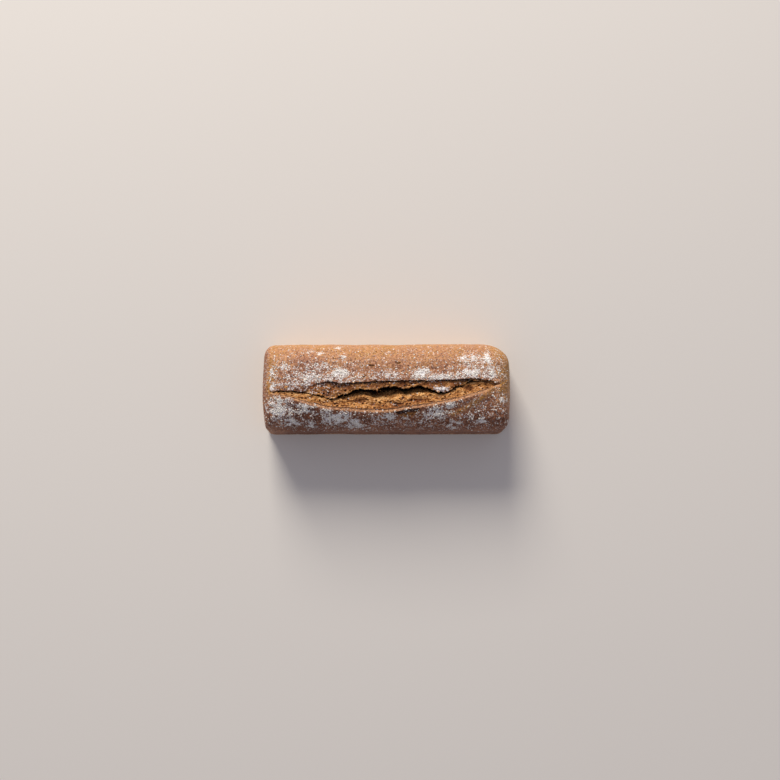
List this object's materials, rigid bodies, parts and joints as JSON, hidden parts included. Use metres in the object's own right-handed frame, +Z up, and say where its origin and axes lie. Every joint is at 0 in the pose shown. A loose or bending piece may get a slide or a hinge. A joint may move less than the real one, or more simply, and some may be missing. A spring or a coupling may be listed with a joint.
{
  "type": "split-top tin loaf of bread",
  "caption": "Whole brown loaf baked in a long tin, with a domed top torn open lengthways, a ragged crumb ledge, a floured crust and smooth rounded sides.",
  "frame": {"origin": "middle of the flat base, on the surface the loaf stands on", "axes": "+X along the loaf, towards the end where the split is narrowest; +Y towards the side with the high, straight lip of the split; +Z up"},
  "size_m": [0.2807, 0.1048, 0.076],
  "materials": {
    "crust": "matt baked crust, golden brown on the sides and reddish brown on top",
    "crumb": "dry torn crumb, open pored",
    "flour": "dry powder"
  },
  "bodies": {
    "root": {"loaf": "crust"}
  },
  "joints": []
}
